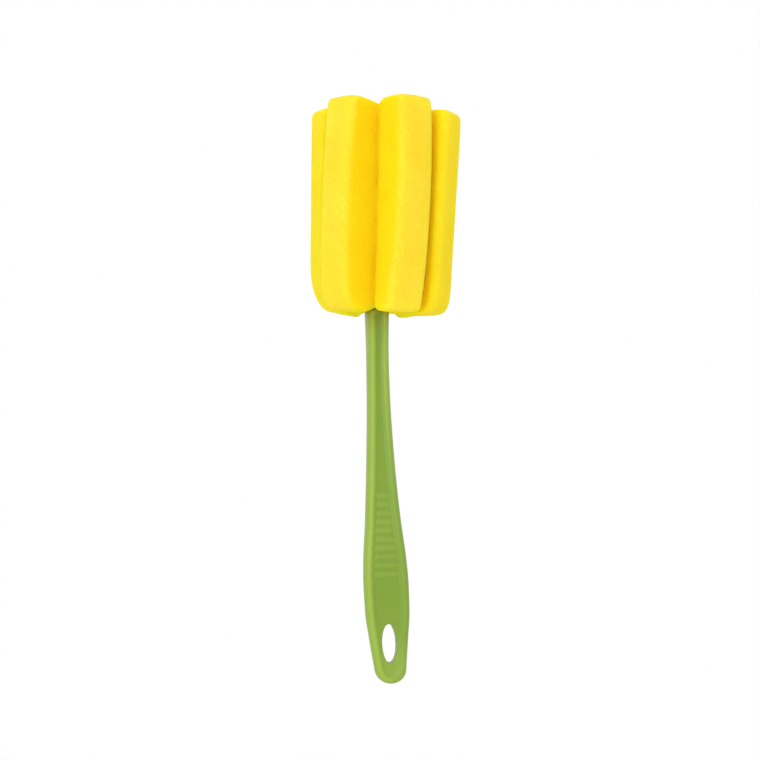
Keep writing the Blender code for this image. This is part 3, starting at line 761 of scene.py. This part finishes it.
def leaf_mesh(leaf):
    """A leaf as a stack of levels, each a ladder of rungs from its left tip to its right tip."""
    low, high = LEAF_BOTTOMS[leaf], LEAF_TOPS[leaf]
    ladders = []
    for height, distance in leaf_levels(leaf):
        share = (height - low) / (high - low)
        ladders.append(
            [
                tuple(Vector((p.x, p.y, seated_height(p, share, leaf))) for p in rung)
                for rung in level_rungs(leaf, height, distance)
            ]
        )
    rings = [[front for front, _ in rungs] + [back for _, back in rungs[::-1]] for rungs in ladders]
    size = len(rings[0])
    vertices = [point for ring in rings for point in ring]
    faces = ring_walls(len(rings), size)
    top_points, top_faces = domed_edge(ladders[-1], leaf, len(vertices), True)
    vertices += top_points
    bottom_points, bottom_faces = domed_edge(ladders[0], leaf, len(vertices), False)
    vertices += bottom_points
    return solid_from("leaf", vertices, faces + top_faces + bottom_faces)


# Cap


def rounded_oblong(half_width, half_length, corner, height):
    """A level ring with straight sides and round corners."""
    ring = []
    for corner_index, (x_side, y_side) in enumerate(((1, 1), (-1, 1), (-1, -1), (1, -1))):
        for i in range(CAP_CORNER_SIDES + 1):
            turn = pi / 2 * (corner_index + i / CAP_CORNER_SIDES)
            x = x_side * (half_width - corner) + corner * cos(turn)
            y = y_side * (half_length - corner) + corner * sin(turn)
            ring.append(Vector((x, y, height)))
    return ring


def frame_offset():
    """From the heights and middles used above to the frame of the solids."""
    height = EYE_HEIGHT + EYE_HALF_HEIGHT + ORIGIN_ABOVE_EYE
    right, behind = centre_line(height)
    back = behind + TAIL_HALF_DEPTH - PANEL_RECESS
    return Vector((-right, -back, -height))


OFFSET = frame_offset()


def add_object(name, mesh):
    thing = bpy.data.objects.new(name, mesh)
    bpy.context.scene.collection.objects.link(thing)
    return thing


def place(name, mesh, looks, node_name):
    """A finished piece, standing in for a node of the solids."""
    mesh.transform(Matrix.Translation(OFFSET))
    mesh.materials.clear()
    mesh.materials.append(looks)
    mesh.shade_smooth()
    thing = add_object(name, mesh)
    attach(thing, "root")
    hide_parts(node_name)
    return thing


def applied(thing):
    """The mesh of an object with its modifiers, once the object itself is gone."""
    bpy.context.view_layer.update()
    graph = bpy.context.evaluated_depsgraph_get()
    mesh = bpy.data.meshes.new_from_object(thing.evaluated_get(graph))
    bpy.data.objects.remove(thing, do_unlink=True)
    return mesh


def change(thing, operation, other):
    """Joins another solid to an object, or cuts it out."""
    step = thing.modifiers.new(operation.lower(), "BOOLEAN")
    step.operation = operation
    step.solver = "EXACT"
    step.object = other


def one_skin(thing, voxel):
    """Joins what overlaps into one even surface."""
    remesh = thing.modifiers.new("skin", "REMESH")
    remesh.mode = "VOXEL"
    remesh.voxel_size = voxel
    relax = thing.modifiers.new("relax", "SMOOTH")
    relax.factor = RELAX_FACTOR
    relax.iterations = RELAX_ROUNDS


def mark(mesh, name, shares):
    """Stores a number for each point of a mesh, for its material to read."""
    values = mesh.attributes.new(name, "FLOAT", "POINT")
    values.data.foreach_set("value", shares)


def eye_mesh():
    """An upright oval that runs through the tail and leans with it."""
    through = 4 * TAIL_HALF_DEPTH
    _, behind = centre_line(EYE_HEIGHT)
    rings = []
    for depth in (behind - through, behind + through):
        ring = []
        for i in range(EYE_SIDES):
            turn = 2 * pi * i / EYE_SIDES
            height = EYE_HEIGHT + EYE_HALF_HEIGHT * sin(turn)
            right, _ = centre_line(height)
            ring.append(Vector((right + EYE_HALF_WIDTH * cos(turn), depth, height)))
        rings.append(ring)
    return lofted("eye", rings)


def painted_rim_light(point):
    """How bright the handle is painted at a point: brightest, as a painted highlight, on its left rim,
    and least, as painted shade, on the panels.
    """
    right, _ = centre_line(point.z)
    across = point.x - right
    inside = edge_distance(across, point.z, half_width(point.z)) / RIM_WIDTH
    crest = (1 - ease(*OFF_CREST, inside)) * mix(OUTER_SHARE, 1.0, ease(*ONTO_CREST, inside))
    if across > 0:
        crest *= mix(RIGHT_GRIP_SHARE, RIGHT_NECK_SHARE, ease(GRIP_MIDDLE, BEND_TOP, point.z))
    tail_end = 1 - ease(EYE_HEIGHT - EYE_HALF_HEIGHT, EYE_HEIGHT + EYE_HALF_HEIGHT, point.z)
    ribs = RIB_SHARE * ease(*ONTO_RIBS, inside) * rib_rise(point.z) / RIB_HEIGHT
    return max(crest, TAIL_END_SHARE * tail_end, ribs)


def fine_handle():
    """The handle with its fork and eye, in one smooth skin."""
    stem = add_object("stem", stem_mesh())
    tines = [add_object("tine", tine_mesh(side)) for side in (-1, 1)]
    eye = add_object("eye", eye_mesh())
    for tine in tines:
        change(stem, "UNION", tine)
    change(stem, "DIFFERENCE", eye)
    one_skin(stem, HANDLE_VOXEL)
    mesh = applied(stem)
    for other in tines + [eye]:
        bpy.data.objects.remove(other, do_unlink=True)
    # painted shade in the sunken panels, and painted highlights on the rims and ribs, stored for each
    # point
    mark(mesh, "rim", [painted_rim_light(vertex.co) for vertex in mesh.vertices])
    # painted shadow and yellow bounce light from the foam, fading over a reach either side of the
    # shoulder
    foam_shadow_share = [ease(FOAM_SHADOW_REACH, 0.0, abs(vertex.co.z - SHOULDER)) for vertex in mesh.vertices]
    mark(mesh, "foam_shadow", foam_shadow_share)
    return mesh


def box_mesh(wide, near, far, low, high):
    """An upright box, as wide to the left as to the right."""
    corners = ((wide, near), (wide, far), (-wide, far), (-wide, near))
    return lofted("box", [[Vector((x, y, height)) for x, y in corners] for height in (low, high)])


def fine_cap():
    """The cap with its round top edge, and a stepped pocket for each barbed tine."""
    levels = [
        (CAP_BOTTOM, CAP_ROUND / 2),
        (CAP_BOTTOM + CAP_ROUND / 2, 0.0),
        (CAP_TOP - CAP_ROUND, 0.0),
    ]
    for i in range(1, CAP_ROUND_STEPS + 1):
        turn = pi / 2 * i / CAP_ROUND_STEPS
        levels.append((CAP_TOP - CAP_ROUND * (1 - sin(turn)), CAP_ROUND * (1 - cos(turn))))
    rings = [
        rounded_oblong(CAP_HALF_WIDTH - inset, CAP_HALF_DEPTH - inset, CAP_CORNER - inset, height)
        for height, inset in levels
    ]
    cap = add_object("cap", lofted("cap", rings))
    slots = []
    for side in (-1, 1):
        far = side * (TINE_OUTSIDE + CLEARANCE)
        for inner, low in (
            (FORK_HALF_GAP, CAP_BOTTOM - CAP_THICKNESS),
            (FORK_HALF_GAP - BARB_DEPTH, TINE_TOP - BARB_HEIGHT - 2 * CLEARANCE),
        ):
            near = side * (inner - CLEARANCE)
            box = box_mesh(TINE_SIDE, near, far, low, CAP_TOP + CAP_THICKNESS)
            slots.append(add_object("slot", box))
            change(cap, "DIFFERENCE", slots[-1])
    mesh = applied(cap)
    for slot in slots:
        bpy.data.objects.remove(slot, do_unlink=True)
    # painted light over the whole cap, a little less bright than the left rim's painted highlight
    mark(mesh, "rim", [CAP_SHARE] * len(mesh.vertices))
    return mesh


def tip_share(point, leaf):
    """How much painted light a point gets: 1 on the outer faces of an outer leaf's two lobes, less on a
    middle leaf's, and 0 on the flanks.
    """
    share = (point.z - HEAD_BOTTOM) / (HEAD_TOP - HEAD_BOTTOM)
    right, left = leaf, 2 * LEAF_COUNT - 1 - leaf
    if leaf in OUTER_LEAVES:
        lobe = max((right, left), key=lambda n: towards(lobe_angle(n, share)).dot(point.xy))
        full = 1.0
    else:
        lobe = right if point.x > 0 else left
        full = MIDDLE_PALENESS
    reach = towards(lobe_angle(lobe, share)).dot(point.xy)
    face = lobe_tip(lobe, leaf, point.z, share) - PALE_MARGIN
    return full * ease(face - TIP_CORNER, face, reach)


def stands_out(point, leaf):
    """How far uneven foam stands out at a point of a leaf, in millimetres."""
    spot = point * MM_PER_METRE
    return sum(
        height * noise.noise(Vector((spot.x * across, spot.y * across, spot.z * up + shift * leaf)))
        for height, across, up, shift in UNEVENNESS
    )


def fine_leaf(leaf):
    """A leaf with soft edges, and the slight unevenness of sliced foam."""
    thing = add_object("leaf", leaf_mesh(leaf))
    smooth = thing.modifiers.new("soft", "SUBSURF")
    smooth.levels = 1
    smooth.render_levels = 1
    if leaf in OUTER_LEAVES:
        one_skin(thing, FOAM_VOXEL)
    mesh = applied(thing)
    mesh.shade_smooth()
    # painted light on the lobes' outer faces, and painted shade on their flanks
    mark(mesh, "tip", [tip_share(vertex.co, leaf) for vertex in mesh.vertices])
    moved = [
        vertex.co + vertex.normal * MM * stands_out(vertex.co, leaf) for vertex in mesh.vertices
    ]
    for vertex, spot in zip(mesh.vertices, moved):
        vertex.co = spot
    mesh.update()
    return mesh


# Materials


def fill(node, inputs):
    """Sets inputs of a node by their names."""
    for name, value in inputs.items():
        node.inputs[name].default_value = value


def add_node(tree, kind, inputs=None, **settings):
    """A new node with its settings and some of its inputs."""
    node = tree.nodes.new("ShaderNode" + kind)
    for name, value in settings.items():
        setattr(node, name, value)
    fill(node, inputs or {})
    return node


def add_mix(tree, inputs, blend="MIX"):
    """A node that mixes or multiplies two colours."""
    return add_node(tree, "Mix", inputs, data_type="RGBA", blend_type=blend)


def add_ramp(tree, stops):
    """A node that turns a number into a colour between two others."""
    node = add_node(tree, "ValToRGB")
    for element, (position, colour) in zip(node.color_ramp.elements, stops):
        element.position = position
        element.color = colour
    return node


def join(tree, *pairs):
    """Links outputs to inputs, each written as (node, name or number)."""
    for (giver, output), (taker, entry) in pairs:
        tree.links.new(giver.outputs[output], taker.inputs[entry])


def new_look(name):
    """A new material, its nodes and its shader."""
    made = bpy.data.materials.new(name)
    made.use_nodes = True
    return made, made.node_tree, made.node_tree.nodes["Principled BSDF"]


def plastic_look():
    """Moulded green plastic, with painted shade in the sunken panels, painted highlights on the left rim
    and the ribs, and painted shadow with yellow bounce light close to the foam.
    """
    made, tree, shader = new_look("green_plastic")
    fill(shader, PLASTIC_SHADER)
    where = add_node(tree, "TexCoord")
    broad = add_node(tree, "TexNoise", PLASTIC_PATCHES)
    grain = add_node(tree, "TexNoise", PLASTIC_GRAIN)
    green = add_ramp(tree, PLASTIC_GREENS)
    # painted shade in the sunken panels and painted highlights on the rims
    rim = add_node(tree, "Attribute", attribute_name="rim")
    painted_recess_shade = add_mix(tree, {"A": PANEL_PAINTED_SHADE, "B": WHITE})
    shade = add_mix(tree, {"Factor": 1.0}, "MULTIPLY")
    # painted shadow and yellow bounce light close to the foam
    foam_shadow = add_node(tree, "Attribute", attribute_name="foam_shadow")
    foam_shadow_mix = add_mix(tree, {"A": WHITE, "B": FOAM_SHADOW_TINT})
    foam_shadowed = add_mix(tree, {"Factor": 1.0}, "MULTIPLY")
    gloss = add_node(tree, "MapRange", PLASTIC_ROUGHNESS)
    bump = add_node(tree, "Bump", PLASTIC_BUMP)
    join(
        tree,
        ((where, "Object"), (broad, "Vector")),
        ((where, "Object"), (grain, "Vector")),
        ((broad, "Fac"), (green, "Fac")),
        ((rim, "Fac"), (painted_recess_shade, "Factor")),
        ((green, "Color"), (shade, "A")),
        ((painted_recess_shade, "Result"), (shade, "B")),
        ((foam_shadow, "Fac"), (foam_shadow_mix, "Factor")),
        ((shade, "Result"), (foam_shadowed, "A")),
        ((foam_shadow_mix, "Result"), (foam_shadowed, "B")),
        ((foam_shadowed, "Result"), (shader, "Base Color")),
        ((broad, "Fac"), (gloss, "Value")),
        ((gloss, "Result"), (shader, "Roughness")),
        ((grain, "Fac"), (bump, "Height")),
        ((bump, "Normal"), (shader, "Normal")),
    )
    return made


def foam_look():
    """Open-cell yellow foam, with painted light making the lobes' outer faces paler, painted shade on
    their flanks, and painted shade deep in its pores.
    """
    made, tree, shader = new_look("yellow_foam")
    fill(shader, FOAM_SHADER)
    where = add_node(tree, "TexCoord")
    cells = add_node(tree, "TexVoronoi", CELLS)
    pores = add_node(tree, "TexVoronoi", PORES)
    holes = add_node(tree, "TexVoronoi", HOLES)
    broad = add_node(tree, "TexNoise", FOAM_PATCHES)
    yellow = add_ramp(tree, FOAM_YELLOWS)
    # painted light on the lobes' outer faces, and painted shade on their flanks
    tip = add_node(tree, "Attribute", attribute_name="tip")
    face_light_mix = add_mix(tree, {"A": FLANK_PAINTED_SHADE, "B": FACE_PAINTED_LIGHT})
    lit_foam_yellow = add_mix(tree, {"Factor": 1.0}, "MULTIPLY")
    pore = add_node(tree, "MapRange", PORE_DEPTH)
    hole = add_node(tree, "MapRange", HOLE_DEPTH)
    depth = add_node(tree, "Math", operation="MULTIPLY")
    # painted shade, deepest at the bottom of the pores
    painted_pore_shade = add_mix(tree, {"A": PORE_PAINTED_SHADE, "B": WHITE})
    shade = add_mix(tree, {"Factor": 1.0}, "MULTIPLY")
    cell_bump = add_node(tree, "Bump", CELL_BUMP)
    pore_bump = add_node(tree, "Bump", PORE_BUMP)
    join(
        tree,
        *[((where, "Object"), (texture, "Vector")) for texture in (cells, pores, holes, broad)],
        ((broad, "Fac"), (yellow, "Fac")),
        ((tip, "Fac"), (face_light_mix, "Factor")),
        ((yellow, "Color"), (lit_foam_yellow, "A")),
        ((face_light_mix, "Result"), (lit_foam_yellow, "B")),
        ((lit_foam_yellow, "Result"), (shade, "A")),
        ((pores, "Distance"), (pore, "Value")),
        ((holes, "Distance"), (hole, "Value")),
        ((pore, "Result"), (depth, 0)),
        ((hole, "Result"), (depth, 1)),
        ((depth, "Value"), (painted_pore_shade, "Factor")),
        ((painted_pore_shade, "Result"), (shade, "B")),
        ((shade, "Result"), (shader, "Base Color")),
        ((cells, "Distance"), (cell_bump, "Height")),
        ((depth, "Value"), (pore_bump, "Height")),
        ((cell_bump, "Normal"), (pore_bump, "Normal")),
        ((pore_bump, "Normal"), (shader, "Normal")),
    )
    return made


def floor_look():
    """Pale and shadowed under the brush, and plain white to the camera further out."""
    made, tree, shader = new_look("pale_floor")
    fill(shader, FLOOR_SHADER)
    where = add_node(tree, "TexCoord")
    reach = add_node(tree, "VectorMath", operation="LENGTH")
    fade = add_node(tree, "MapRange", FLOOR_FADE)
    path = add_node(tree, "LightPath")
    seen = add_node(tree, "Math", operation="MULTIPLY")
    white = add_node(tree, "Emission", {"Strength": 1.0})
    mixed = add_node(tree, "MixShader")
    join(
        tree,
        ((where, "Object"), (reach, 0)),
        ((reach, "Value"), (fade, "Value")),
        ((fade, "Result"), (seen, 0)),
        ((path, "Is Camera Ray"), (seen, 1)),
        ((seen, "Value"), (mixed, "Fac")),
        ((shader, "BSDF"), (mixed, 1)),
        ((white, "Emission"), (mixed, 2)),
        ((mixed, "Shader"), (tree.nodes["Material Output"], "Surface")),
    )
    return made


# Pieces

plastic = plastic_look()
foam = foam_look()
place("handle_body", fine_handle(), plastic, "handle")
place("cap_body", fine_cap(), plastic, "fork_cap")
LEAF_NODES = ("front_leaf", "middle_front_leaf", "middle_rear_leaf", "rear_leaf")
for number, leaf_node in enumerate(LEAF_NODES):
    piece = place(leaf_node + "_foam", fine_leaf(number), foam, leaf_node)


# Stage


def add_floor():
    edit = bmesh.new()
    bmesh.ops.create_circle(edit, cap_ends=True, segments=FLOOR_SIDES, radius=FLOOR_RADIUS)
    mesh = bpy.data.meshes.new("floor")
    edit.to_mesh(mesh)
    edit.free()
    mesh.materials.append(floor_look())
    floor = add_object("floor", mesh)
    floor.location = (OFFSET.x, OFFSET.y, OFFSET.z - FLOOR_BELOW_TAIL)


def add_world():
    """Even light on the brush, and plain white behind it and in its reflections."""
    world = bpy.data.worlds.new("studio")
    bpy.context.scene.world = world
    world.use_nodes = True
    tree = world.node_tree
    tree.nodes.clear()
    out = add_node(tree, "OutputWorld")
    path = add_node(tree, "LightPath")
    lit = add_node(tree, "Background", {"Color": WHITE, "Strength": AMBIENT})
    white = add_node(tree, "Background", {"Color": WHITE, "Strength": 1.0})
    reflected = add_node(tree, "Math", operation="MAXIMUM")
    seen = add_node(tree, "Math", operation="MAXIMUM")
    mixed = add_node(tree, "MixShader")
    join(
        tree,
        ((path, "Is Camera Ray"), (reflected, 0)),
        ((path, "Is Glossy Ray"), (reflected, 1)),
        ((reflected, "Value"), (seen, 0)),
        ((path, "Is Transmission Ray"), (seen, 1)),
        ((seen, "Value"), (mixed, "Fac")),
        ((lit, "Background"), (mixed, 1)),
        ((white, "Background"), (mixed, 2)),
        ((mixed, "Shader"), (out, "Surface")),
    )


def aim(thing, target):
    """Turns a lamp or a camera to look at a point."""
    thing.rotation_euler = (target - thing.location).to_track_quat("-Z", "Y").to_euler()


def add_lamp(name, direction, distance, power, size, target):
    data = bpy.data.lights.new(name, "AREA")
    data.shape = "SQUARE"
    data.size = size
    data.energy = power
    lamp = add_object(name, data)
    lamp.location = target + direction.normalized() * distance
    aim(lamp, target)


def add_camera():
    """The camera, and the point that it looks at."""
    ahead = Vector((sin(radians(CAMERA_TURN)), cos(radians(CAMERA_TURN)), 0.0))
    right = Vector((ahead.y, -ahead.x, 0.0))
    target = OFFSET + Vector((0.0, 0.0, CAMERA_HEIGHT)) + right * CAMERA_ASIDE
    data = bpy.data.cameras.new("camera")
    data.sensor_width = SENSOR
    data.lens = SENSOR * CAMERA_DISTANCE / (IMAGE_PIXELS * METRES_PER_PIXEL)
    data.clip_start = CAMERA_NEAR
    data.clip_end = CAMERA_FAR
    camera = add_object("camera", data)
    camera.location = target - ahead * CAMERA_DISTANCE
    aim(camera, target)
    return camera, target


add_floor()
add_world()
bpy.context.scene.camera, middle = add_camera()
for lamp_name, lamp_facts in LAMPS.items():
    add_lamp(lamp_name, *lamp_facts, middle)
bpy.context.scene.view_settings.view_transform = "Standard"
